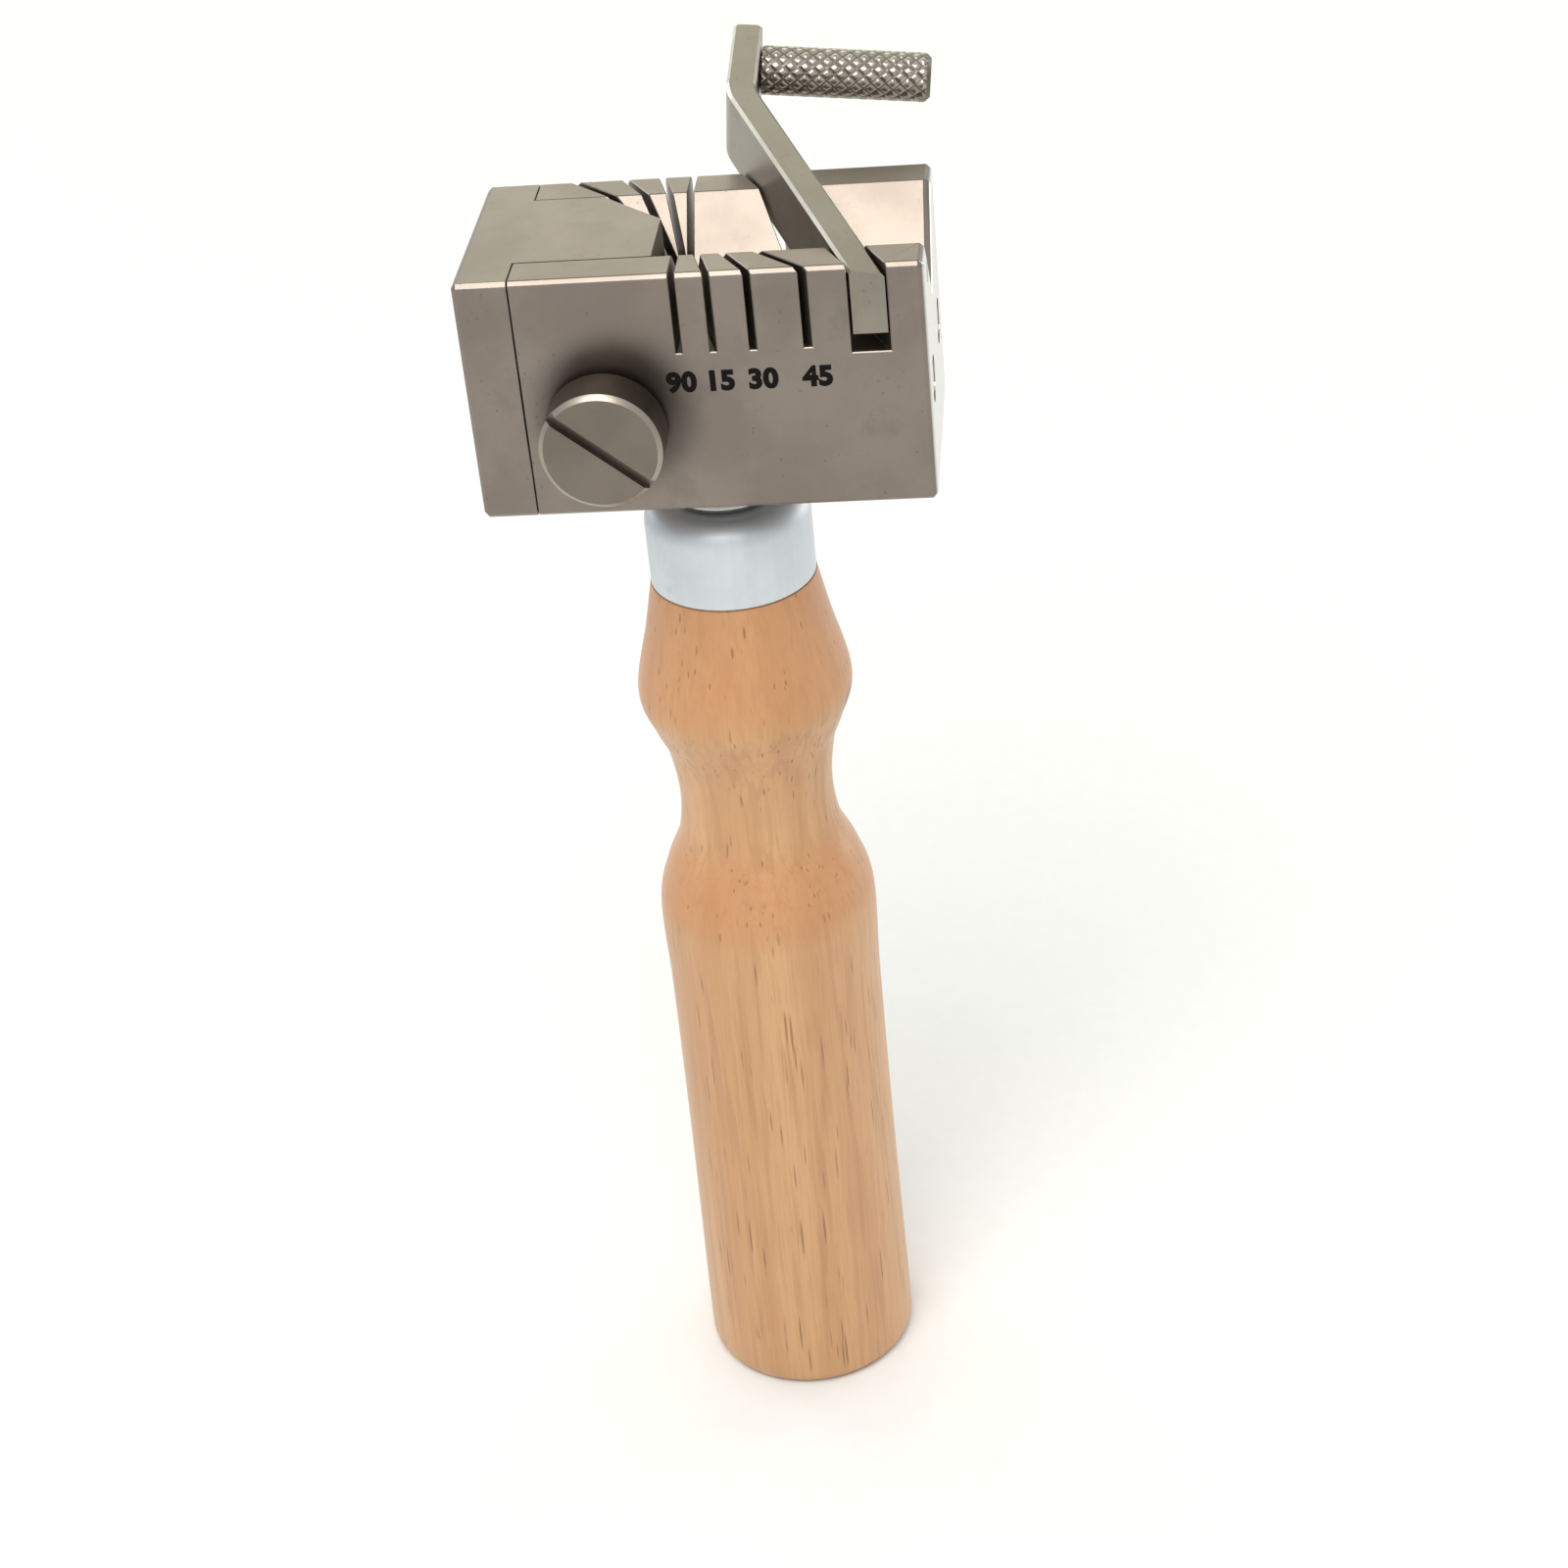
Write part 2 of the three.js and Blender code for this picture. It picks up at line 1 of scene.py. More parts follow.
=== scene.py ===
"""A jeweller's tube and wire cutting jig on a turned beech handle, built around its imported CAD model.

Metres, +Z up. The origin is the centre of the handle's butt, and the numbered face looks along -Y.
"""

import json
import math

import bmesh
import bpy
import numpy as np
from mathutils import Matrix, Vector

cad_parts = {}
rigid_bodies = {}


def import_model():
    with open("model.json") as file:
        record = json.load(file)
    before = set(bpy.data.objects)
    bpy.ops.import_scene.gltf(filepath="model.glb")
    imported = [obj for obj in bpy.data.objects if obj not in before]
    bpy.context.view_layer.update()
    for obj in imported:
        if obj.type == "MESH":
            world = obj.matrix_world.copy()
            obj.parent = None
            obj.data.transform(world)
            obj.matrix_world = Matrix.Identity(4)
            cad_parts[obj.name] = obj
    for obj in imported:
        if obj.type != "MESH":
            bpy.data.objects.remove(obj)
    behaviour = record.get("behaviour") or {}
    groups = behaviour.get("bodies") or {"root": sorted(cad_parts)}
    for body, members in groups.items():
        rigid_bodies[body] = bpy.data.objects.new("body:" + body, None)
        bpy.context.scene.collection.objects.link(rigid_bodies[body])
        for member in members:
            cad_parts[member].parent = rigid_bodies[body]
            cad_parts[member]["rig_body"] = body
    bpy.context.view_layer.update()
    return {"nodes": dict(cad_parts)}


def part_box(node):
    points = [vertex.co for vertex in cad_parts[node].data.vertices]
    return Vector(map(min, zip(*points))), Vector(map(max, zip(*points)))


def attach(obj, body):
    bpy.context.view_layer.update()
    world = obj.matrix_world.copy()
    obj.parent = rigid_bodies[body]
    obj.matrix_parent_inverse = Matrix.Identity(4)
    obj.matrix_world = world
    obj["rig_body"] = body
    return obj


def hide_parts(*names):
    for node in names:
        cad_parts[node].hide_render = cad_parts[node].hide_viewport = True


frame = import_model()

MM = 0.001
FACE_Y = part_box("jig_body")[0].y  # the numbered face, in metres

# ---------------------------------------------------------------- sizes, in millimetres
BLOCK_CHAMFER = 0.09
STOP_CHAMFER = BLOCK_CHAMFER / 2
MILLED_SHARP = 3  # degrees between faces that shows as an edge on the milled block
BENT_SHARP = 15  # the same on the lever, whose bend is smooth
SAW_SLOT_DEPTH = 8.15
ROD_START_CHAMFER = 0.3  # inside the stop's cap
ROD_END_CHAMFER = 0.8  # at the block's right end face
PAD_CHAMFER = 0.15
LEVER_EDGE = 0.3
LEVER_EDGE_STARTS = 0.5  # how far behind the numbered face the lever's top is chamfered
FIXED_GAP = 0.05  # the CAD model's gap between pieces that are fixed together

SCREW_HEAD_LENGTH = 5.5
SCREW_HEAD_RADIUS = 6
SCREW_EDGE = 0.5
SCREW_ROUNDING = 0.06  # rounding of every sharp edge of the screw
SCREW_SLOT_WIDTH = 1.0
SCREW_SLOT_DEPTH = 1.0
SCREW_SLOT_ANGLE = math.radians(-40)
SCREW_SHANK_RADIUS = 2.5

PIN_EDGE = 0.55
PIN_RADIUS = 2.5
SPIGOT_RADIUS = 1.5
SPIGOT_LENGTH = 3.05
PIN_NECK_RADIUS = 1.75
PIN_NECK_LENGTH = 0.12
PIN_START_EDGE = 0.15
KNURL_STARTS = 11
KNURL_PITCH = 1.5
KNURL_DEPTH = 0.2
KNURL_FLAT = 0.5  # share of a diamond's width that is left flat on its crest
KNURL_STEPS = 12  # mesh steps across one diamond

FERRULE_ROUND = 2.5
FERRULE_WALL = 0.75
FERRULE_LIP = 0.25  # chamfer round its open end
FERRULE_HOLE_RADIUS = 3.3
FERRULE_ROWS = 24  # mesh rows up its side, for the dimple
DIMPLE_ANGLE = math.radians(-44)
DIMPLE_ABOVE_FOOT = 1.9
DIMPLE_RADIUS = 0.9
DIMPLE_DEPTH = 0.22

TANG_TIP_RADIUS = 1.6
TANG_RADIUS = 3.2
BEAD_RADIUS = 0.7  # the polished bead at the foot of the neck
NECK_CHAMFER = 0.3
STUD_RADIUS = 4  # in the block

# The turned handle's outline below the ferrule, as radius and height above the table.
HANDLE_OUTLINE = [
    (8.7, 103.2),
    (9.8, 97.8),
    (11.4, 90.5),
    (10.2, 86.2),
    (9.0, 83),
    (8.3, 77.5),
    (8.85, 72.2),
    (10.6, 68),
    (11.85, 63),
    (11.7, 52),
    (11.75, 30),
    (12, 8),
]
BUTT_ROUND = 1.6

NUMBER_HEIGHT = 1.95
NUMBER_FONT_SIZE = 1.42 * NUMBER_HEIGHT  # the font's digits are shorter than its size
NUMBER_BOLDNESS = 0.055  # share of the font size that thickens the strokes
NUMBER_SPACING = 1.06
NUMBER_DROP = 3.1  # from the foot of the saw slots to the middle of the numbers
NUMBER_PROUD = 0.015
NUMBERS = {"90": -1.4, "15": 2.35, "30": 6.5, "45": 11.8}


# ---------------------------------------------------------------- mesh tools
def arc(centre_radius, centre_height, radius, from_degrees, to_degrees, steps):
    points = []
    for i in range(steps + 1):
        angle = math.radians(from_degrees + (to_degrees - from_degrees) * i / steps)
        across, up = radius * math.cos(angle), radius * math.sin(angle)
        points.append((centre_radius + across, centre_height + up))
    return points


def smooth_outline(points, steps):
    """A Catmull-Rom curve through the points."""
    made = []
    last = len(points) - 1
    for i in range(last):
        around = (max(i - 1, 0), i, i + 1, min(i + 2, last))
        before, start, end, after = (Vector(points[j]) for j in around)
        leave, arrive = (end - before) / 2, (after - start) / 2
        for k in range(steps):
            t = k / steps
            cubic = 2 * start - 2 * end + leave + arrive
            square = 3 * end - 3 * start - 2 * leave - arrive
            made.append(tuple(cubic * t**3 + square * t**2 + leave * t + start))
    made.append(tuple(points[last]))
    return made


def turned(outline, sides):
    """The surface that (radius, height) points sweep round Z, closed if both ends are on the axis."""
    bm = bmesh.new()
    rings = []
    for radius, height in outline:
        if radius < 1e-6:
            rings.append([bm.verts.new((0, 0, height * MM))])
            continue
        ring = []
        for k in range(sides):
            angle = 2 * math.pi * k / sides
            across, deep = radius * MM * math.cos(angle), radius * MM * math.sin(angle)
            ring.append(bm.verts.new((across, deep, height * MM)))
        rings.append(ring)
    for low, high in zip(rings, rings[1:]):
        for k in range(sides):
            after = (k + 1) % sides
            bottom = (low[k % len(low)], low[after % len(low)])
            top = (high[after % len(high)], high[k % len(high)])
            bm.faces.new(list(dict.fromkeys((*bottom, *top))))
    bmesh.ops.recalc_face_normals(bm, faces=bm.faces)
    return bm


def finished_mesh(bm, name, sharp_degrees=32):
    mesh = bpy.data.meshes.new(name)
    bm.to_mesh(mesh)
    bm.free()
    mesh.shade_smooth()
    mesh.set_sharp_from_angle(angle=math.radians(sharp_degrees))
    return mesh


def new_object(name, mesh):
    made = bpy.data.objects.new(name, mesh)
    bpy.context.scene.collection.objects.link(made)
    return made


def new_piece(name, bm, node, material, place=None, sharp_degrees=32):
    """A detailed piece that stands for a CAD node, and rides on its body."""
    piece = new_object(name, finished_mesh(bm, name, sharp_degrees))
    piece.data.materials.append(material)
    if place is not None:
        piece.matrix_world = place
    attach(piece, frame["nodes"][node]["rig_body"])
    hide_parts(node)
    return piece


def flat_faces_stay_flat(piece):
    shading = piece.modifiers.new("flat_faces", "WEIGHTED_NORMAL")
    shading.keep_sharp = True


def joined_up(node):
    """The CAD node's own solid, with the triangles of each flat face joined into one face."""
    same_point_within = 0.002 * MM
    flat_within = math.radians(0.8)
    bm = bmesh.new()
    bm.from_mesh(frame["nodes"][node].data)
    bmesh.ops.remove_doubles(bm, verts=bm.verts, dist=same_point_within)
    bmesh.ops.dissolve_limit(bm, angle_limit=flat_within, verts=bm.verts, edges=bm.edges)
    bmesh.ops.recalc_face_normals(bm, faces=bm.faces)
    return bm


def chamfered(bm, edges, width, material=0):
    """A flat chamfer of one face, of the same width all along each edge."""
    bmesh.ops.bevel(
        bm,
        geom=edges,
        offset=width * MM,
        segments=1,
        profile=0.5,
        affect="EDGES",
        clamp_overlap=False,
        loop_slide=False,
        material=material,
    )


def sharp_edges(bm, sharper_than, longer_than=0.0):
    """The edges that turn by more than so many degrees and are longer than so many millimetres."""
    return [
        e
        for e in bm.edges
        if len(e.link_faces) == 2
        and e.calc_face_angle(0) > math.radians(sharper_than)
        and e.calc_length() > longer_than * MM
    ]


def machined_edges(bm):
    """The sharp edges apart from the rims of small bores and other short ones."""
    return sharp_edges(bm, sharper_than=24, longer_than=0.6)


def cut(bm, cutter, name):
    """bm with the cutter taken away, both given as bmesh."""
    target = new_object(name, finished_mesh(bm, name))
    tool = new_object(name + "_cutter", finished_mesh(cutter, name + "_cutter"))
    boolean = target.modifiers.new("cut", "BOOLEAN")
    boolean.operation = "DIFFERENCE"
    boolean.solver = "EXACT"
    boolean.object = tool
    made = bmesh.new()
    made.from_object(target, bpy.context.evaluated_depsgraph_get())
    for part in (target, tool):
        bpy.data.objects.remove(part)
    return made


def placed_along(start, direction):
    """The place of a turned piece whose own Z axis runs from start along direction."""
    return Matrix.Translation(start) @ direction.to_track_quat("Z", "Y").to_matrix().to_4x4()


def turned_axis(node):
    """(start in metres, direction, length and radius in millimetres) of a long turned CAD node.

    The direction is that of the vertices' widest spread, which is wrong for a short disc such as lock_pad.
    """
    points = np.unique(np.round([v.co / MM for v in frame["nodes"][node].data.vertices], 3), axis=0)
    middle = points.mean(axis=0)
    direction = np.linalg.eigh(np.cov((points - middle).T))[1][:, -1]
    if direction[np.abs(direction).argmax()] < 0:
        direction = -direction
    along = (points - middle) @ direction
    away = np.linalg.norm(points - middle - np.outer(along, direction), axis=1)
    start = middle + direction * along.min()
    return Vector(start) * MM, Vector(direction), along.max() - along.min(), away.max()


# ---------------------------------------------------------------- material tools
class Recipe:
    """Builds one procedural material: every texture reads the piece's own object coordinates."""

    def __init__(self, name):
        self.material = bpy.data.materials.new(name)
        self.material.use_nodes = True
        self.nodes = self.material.node_tree.nodes
        self.links = self.material.node_tree.links
        self.shader = self.nodes["Principled BSDF"]
        self.coordinates = self.nodes.new("ShaderNodeTexCoord").outputs["Object"]

    def stretched(self, scale):
        mapping = self.nodes.new("ShaderNodeMapping")
        mapping.inputs["Scale"].default_value = scale
        self.links.new(self.coordinates, mapping.inputs["Vector"])
        return mapping.outputs["Vector"]

    def noise(self, scale, detail=3.0, roughness=0.5, stretch=(1, 1, 1), distortion=0.0):
        texture = self.nodes.new("ShaderNodeTexNoise")
        texture.inputs["Scale"].default_value = scale
        texture.inputs["Detail"].default_value = detail
        texture.inputs["Roughness"].default_value = roughness
        texture.inputs["Distortion"].default_value = distortion
        self.links.new(self.stretched(stretch), texture.inputs["Vector"])
        return texture.outputs["Fac"]

    def cells(self, scale, stretch=(1, 1, 1), randomness=1.0):
        texture = self.nodes.new("ShaderNodeTexVoronoi")
        texture.inputs["Scale"].default_value = scale
        texture.inputs["Randomness"].default_value = randomness
        self.links.new(self.stretched(stretch), texture.inputs["Vector"])
        return texture.outputs["Distance"]

    def axis(self, letter):
        split = self.nodes.new("ShaderNodeSeparateXYZ")
        self.links.new(self.coordinates, split.inputs["Vector"])
        return split.outputs[letter]

    def distance_from(self, middle, along=(1, 1, 1)):
        """Distance from a point, measured only along the axes given as 1."""
        centred = self.nodes.new("ShaderNodeVectorMath")
        centred.operation = "SUBTRACT"
        self.links.new(self.coordinates, centred.inputs[0])
        centred.inputs[1].default_value = middle
        kept = self.nodes.new("ShaderNodeVectorMath")
        kept.operation = "MULTIPLY"
        self.links.new(centred.outputs["Vector"], kept.inputs[0])
        kept.inputs[1].default_value = along
        length = self.nodes.new("ShaderNodeVectorMath")
        length.operation = "LENGTH"
        self.links.new(kept.outputs["Vector"], length.inputs[0])
        return length.outputs["Value"]

    def remap(self, value, from_low, from_high, to_low=0.0, to_high=1.0, smooth=True):
        node = self.nodes.new("ShaderNodeMapRange")
        node.interpolation_type = "SMOOTHSTEP" if smooth else "LINEAR"
        self.links.new(value, node.inputs["Value"])
        for socket, number in (
            ("From Min", from_low),
            ("From Max", from_high),
            ("To Min", to_low),
            ("To Max", to_high),
        ):
            node.inputs[socket].default_value = number
        return node.outputs["Result"]

    def math(self, operation, a, b):
        node = self.nodes.new("ShaderNodeMath")
        node.operation = operation
        for socket, value in zip(node.inputs, (a, b)):
            if isinstance(value, (int, float)):
                socket.default_value = value
            else:
                self.links.new(value, socket)
        return node.outputs["Value"]

    def mix(self, factor, a, b, blend="MIX"):
        node = self.nodes.new("ShaderNodeMix")
        node.data_type = "RGBA"
        node.blend_type = blend
        for socket, value in ((node.inputs[0], factor), (node.inputs[6], a), (node.inputs[7], b)):
            if isinstance(value, (int, float)):
                socket.default_value = value
            elif isinstance(value, tuple):
                socket.default_value = (*value, 1.0)
            else:
                self.links.new(value, socket)
        return node.outputs[2]

    def colour_now(self):
        return self.shader.inputs["Base Color"].links[0].from_socket

    def colour(self, value):
        self.links.new(value, self.shader.inputs["Base Color"])

    def roughness(self, value):
        self.links.new(value, self.shader.inputs["Roughness"])

    def bump(self, value, distance, strength=1.0):
        node = self.nodes.new("ShaderNodeBump")
        node.inputs["Strength"].default_value = strength
        node.inputs["Distance"].default_value = distance
        self.links.new(value, node.inputs["Height"])
        if self.shader.inputs["Normal"].is_linked:
            self.links.new(self.shader.inputs["Normal"].links[0].from_socket, node.inputs["Normal"])
        self.links.new(node.outputs["Normal"], self.shader.inputs["Normal"])


def machined_metal(name, dark, light, roughness, grain_bump=0.006):
    """Satin machined metal: cloudy tone, fine grain, faint specks and a slightly uneven polish."""
    r = Recipe(name)
    r.shader.inputs["Metallic"].default_value = 1.0
    clouds = r.noise(90, detail=4, roughness=0.6)
    stains = r.noise(150, detail=6, roughness=0.7)
    grain = r.noise(5200, detail=2)
    tone = r.mix(r.remap(clouds, 0.35, 0.65), dark, light)
    tone = r.mix(r.remap(grain, 0.3, 0.7, 0.0, 0.16), tone, dark)
    tone = r.mix(r.remap(stains, 0.55, 0.75, 0.0, 0.3), tone, tuple(0.6 * c for c in dark))
    scattered = r.remap(r.noise(260, detail=2), 0.52, 0.6)
    specks = r.math("MULTIPLY", scattered, r.remap(r.cells(1100), 0.08, 0.2, 0.4, 0.0))
    tone = r.mix(specks, tone, tuple(0.45 * c for c in dark))
    r.colour(tone)
    r.roughness(r.remap(clouds, 0.3, 0.7, roughness - 0.04, roughness + 0.05))
    r.bump(grain, grain_bump * MM)
    return r


def block_steel():
    """The block's satin steel, darkened round the lock screw's head by a painted shadow and reflection of
    the head plus oil residue, and with painted light on its right end face.
    """
    r = machined_metal("block_steel", (0.222, 0.188, 0.163), (0.265, 0.227, 0.197), 0.36)
    # Painted shadow and reflection of the screw head, plus oil residue: the face is darkened round the
    # head, most towards its upper right.
    low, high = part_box("lock_screw")
    screw_middle = Vector(((low.x + high.x) / 2, 0, (low.z + high.z) / 2))
    head_shade_and_oil_middle = screw_middle + Vector((1, 0, 1.2)) * MM
    head_shade_and_oil_strength = 0.68
    head_radius = (high.x - low.x) / 2
    from_middle = r.distance_from(head_shade_and_oil_middle, (1, 0, 1))
    edge = r.remap(from_middle, 0.9 * head_radius, 1.65 * head_radius, 1.0, 0.0)
    on_face = r.remap(r.axis("Y"), FACE_Y + 0.2 * MM, FACE_Y + 0.5 * MM, 1.0, 0.0)
    head_shade_and_oil = r.math("MULTIPLY", r.math("MULTIPLY", edge, on_face), head_shade_and_oil_strength)
    r.colour(r.mix(head_shade_and_oil, r.colour_now(), (0.05, 0.042, 0.036)))
    # Painted light: the right end face is lightened to stand in for the strong light on it, and made less
    # rough.
    end_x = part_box("jig_body")[1].x
    painted_light_end_face = r.remap(r.axis("X"), end_x - 0.2 * MM, end_x - 0.05 * MM)
    r.colour(r.mix(painted_light_end_face, r.colour_now(), (0.62, 0.6, 0.57)))
    r.roughness(r.remap(painted_light_end_face, 0, 1, 0.36, 0.2))
    return r.material


def lever_steel():
    return machined_metal("lever_steel", (0.255, 0.232, 0.19), (0.305, 0.28, 0.232), 0.34).material


def painted_highlight_edge():
    """The lever's left edge chamfer, lightened as a painted highlight where it catches the light."""
    return machined_metal("painted_highlight_edge", (0.6, 0.575, 0.5), (0.7, 0.675, 0.6), 0.3).material


def ground_steel():
    return machined_metal("ground_steel", (0.42, 0.40, 0.37), (0.5, 0.48, 0.45), 0.24, 0.003).material


def polished_steel():
    return machined_metal("polished_steel", (0.46, 0.45, 0.43), (0.54, 0.53, 0.51), 0.09, 0.0005).material


def screw_steel():
    """Turned steel: very fine rings about the screw's axis, which is the piece's own Z."""
    r = Recipe("screw_steel")
    r.shader.inputs["Metallic"].default_value = 1.0
    clouds = r.noise(120, detail=4)
    grain = r.noise(5000, detail=2)
    tone = r.mix(r.remap(clouds, 0.35, 0.65), (0.18, 0.152, 0.128), (0.22, 0.187, 0.158))
    tone = r.mix(r.remap(grain, 0.3, 0.7, 0.0, 0.18), tone, (0.16, 0.137, 0.118))
    # Painted highlight: the head's front chamfer is lightened to stand in for the light it catches.
    rim = r.remap(r.axis("Z"), SCREW_EDGE * MM, (SCREW_EDGE + 0.1) * MM, 1.0, 0.0)
    outer = (SCREW_HEAD_RADIUS - SCREW_EDGE) * MM
    rim = r.math("MULTIPLY", rim, r.remap(r.distance_from((0, 0, 0), (1, 1, 0)), outer, outer + 0.06 * MM))
    r.colour(r.mix(rim, tone, (0.36, 0.32, 0.27)))
    r.roughness(r.remap(clouds, 0.3, 0.7, 0.34, 0.42))
    r.bump(r.noise(1500, stretch=(0.02, 0.02, 1)), 0.004 * MM)
    return r.material


def knurled_nickel():
    """Nickel plate, darker down in the knurling grooves, with painted shade on its underside."""
    r = Recipe("knurled_nickel")
    r.shader.inputs["Metallic"].default_value = 1.0
    clouds = r.noise(350, detail=4)
    crest = PIN_RADIUS * MM
    from_axis = r.distance_from((0, 0, 0), (1, 1, 0))
    depth = r.remap(from_axis, crest - KNURL_DEPTH * MM, crest - 0.4 * KNURL_DEPTH * MM)
    clean = r.mix(r.remap(clouds, 0.35, 0.65), (0.41, 0.38, 0.32), (0.5, 0.465, 0.4))
    # Painted shade: the pin's underside is darkened.
    painted_underside_shade = r.remap(r.axis("Y"), 0.4 * MM, -1.3 * MM, 0.0, 0.62)
    clean = r.mix(painted_underside_shade, clean, (0.14, 0.125, 0.11))
    r.colour(r.mix(depth, (0.16, 0.142, 0.115), clean))
    r.roughness(r.remap(depth, 0.0, 1.0, 0.5, 0.23))
    return r.material


def ferrule_plate():
    """Bright zinc plate with a faintly blue, chalky bloom that keeps it from mirroring the block."""
    r = Recipe("ferrule_plate")
    r.shader.inputs["Metallic"].default_value = 0.5
    clouds = r.noise(160, detail=5, roughness=0.6)
    streaks = r.noise(900, detail=2, stretch=(1, 1, 0.05))
    tone = r.mix(r.remap(clouds, 0.3, 0.7), (0.585, 0.62, 0.65), (0.665, 0.7, 0.73))
    r.colour(r.mix(r.remap(streaks, 0.35, 0.7, 0.0, 0.12), tone, (0.44, 0.475, 0.51)))
    r.roughness(r.remap(clouds, 0.3, 0.7, 0.44, 0.52))
    r.bump(streaks, 0.002 * MM)
    return r.material


def pad_brass():
    r = Recipe("pad_brass")
    r.shader.inputs["Metallic"].default_value = 1.0
    clouds = r.noise(800, detail=4)
    r.colour(r.mix(r.remap(clouds, 0.3, 0.7), (0.55, 0.38, 0.13), (0.72, 0.52, 0.22)))
    r.roughness(r.remap(clouds, 0.3, 0.7, 0.3, 0.45))
    return r.material


def number_ink():
    r = Recipe("number_ink")
    grain = r.noise(6000, detail=2)
    r.colour(r.mix(grain, (0.004, 0.0035, 0.003), (0.012, 0.011, 0.01)))
    r.roughness(r.remap(grain, 0.3, 0.7, 0.5, 0.7))
    r.shader.inputs["Specular IOR Level"].default_value = 0.05
    return r.material


def beech():
    """Varnished beech: soft streaks, fine fibre, and the many short dark flecks of its rays."""
    r = Recipe("beech")
    figure = r.noise(260, detail=3, stretch=(1, 1, 0.045), distortion=0.4)
    streaks = r.noise(1100, detail=3, roughness=0.6, stretch=(1, 1, 0.04), distortion=0.3)
    fibre = r.noise(3200, detail=3, roughness=0.65, stretch=(1, 1, 0.04))
    clouds = r.noise(60, detail=3)
    tone = r.mix(r.remap(figure, 0.32, 0.68), (0.5, 0.255, 0.108), (0.6, 0.335, 0.16))
    tone = r.mix(r.remap(streaks, 0.47, 0.66, 0.0, 0.5), tone, (0.4, 0.19, 0.08))
    tone = r.mix(r.remap(fibre, 0.4, 0.75, 0.0, 0.4), tone, (0.42, 0.205, 0.09))
    tone = r.mix(r.remap(clouds, 0.35, 0.65, 0.0, 0.25), tone, (0.62, 0.36, 0.175))
    height = r.axis("Z")
    # Painted shade: darker near the ferrule and in a band below the waist, where the surface tilts up.
    neck = r.remap(height, 88.5 * MM, 92 * MM)
    painted_shade_band = r.math("MULTIPLY", r.remap(height, 62 * MM, 65 * MM), r.remap(height, 69 * MM, 75 * MM, 1, 0))
    painted_shade_zones = r.math("MAXIMUM", neck, painted_shade_band)
    tone = r.mix(r.math("MULTIPLY", painted_shade_zones, 0.5), tone, (0.5, 0.22, 0.09))
    flecks = 0.0
    for scale, thick in ((1250, 0.21), (1700, 0.2)):
        drawn = r.remap(r.cells(scale, stretch=(1, 1, 0.05)), 0.55 * thick, thick, 1.0, 0.0)
        present = r.remap(r.noise(scale / 5, detail=2, stretch=(1, 1, 0.3)), 0.44, 0.56)
        flecks = r.math("MAXIMUM", r.math("MULTIPLY", drawn, present), flecks)
    tone = r.mix(r.math("MULTIPLY", flecks, 0.7), tone, (0.22, 0.1, 0.045))
    stain = r.remap(r.distance_from(Vector((11.2, -2, 88.6)) * MM), 0.8 * MM, 2.2 * MM, 0.55, 0.0)
    r.colour(r.mix(stain, tone, (0.09, 0.06, 0.045)))
    r.roughness(r.remap(clouds, 0.3, 0.7, 0.42, 0.52))
    r.shader.inputs["Coat Weight"].default_value = 0.25
    r.shader.inputs["Coat Roughness"].default_value = 0.2
    r.bump(fibre, 0.012 * MM)
    r.bump(flecks, -0.02 * MM)
    return r.material


# ---------------------------------------------------------------- the steel block and its stop
def jig_body(material):
    bm = joined_up("jig_body")
    chamfered(bm, machined_edges(bm), BLOCK_CHAMFER)
    new_piece("block_body", bm, "jig_body", material, sharp_degrees=MILLED_SHARP)


def slide_stop(material):
    bm = joined_up("slide_stop")
    chamfered(bm, machined_edges(bm), STOP_CHAMFER)
    new_piece("sliding_stop", bm, "slide_stop", material, sharp_degrees=MILLED_SHARP)


def round_bar(name, node, start_edge, end_edge, material):
    """A rod or pad with a chamfer at each end."""
    start, direction, length, radius = turned_axis(node)
    outline = [
        (0, 0),
        (radius - start_edge, 0),
        (radius, start_edge),
        (radius, length - end_edge),
        (radius - end_edge, length),
        (0, length),
    ]
    new_piece(name, turned(outline, sides=64), node, material, placed_along(start, direction))


def pivot_pin(material):
    """The lever's pin, ground off flush with the block's end face."""
    new_piece("pivot_pin", joined_up("lever_pivot_pin"), "lever_pivot_pin", material)


def numbers(material):
    saw_slot_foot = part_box("jig_body")[1].z - SAW_SLOT_DEPTH * MM
    for text, x in NUMBERS.items():
        curve = bpy.data.curves.new("angle_" + text, "FONT")
        curve.body = text
        curve.align_x = "CENTER"
        curve.align_y = "CENTER"
        curve.size = NUMBER_FONT_SIZE * MM
        curve.offset = NUMBER_BOLDNESS * curve.size
        curve.space_character = NUMBER_SPACING
        curve.extrude = NUMBER_PROUD * MM
        curve.resolution_u = 6
        letters = new_object("letters", curve)
        mesh = bpy.data.meshes.new_from_object(letters)
        bpy.data.objects.remove(letters)
        upright = Matrix.Rotation(math.pi / 2, 4, "X")
        mesh.transform(Matrix.Translation((x * MM, FACE_Y, saw_slot_foot - NUMBER_DROP * MM)) @ upright)
        piece = new_object("angle_" + text, mesh)
        piece.data.materials.append(material)
        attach(piece, "jig")


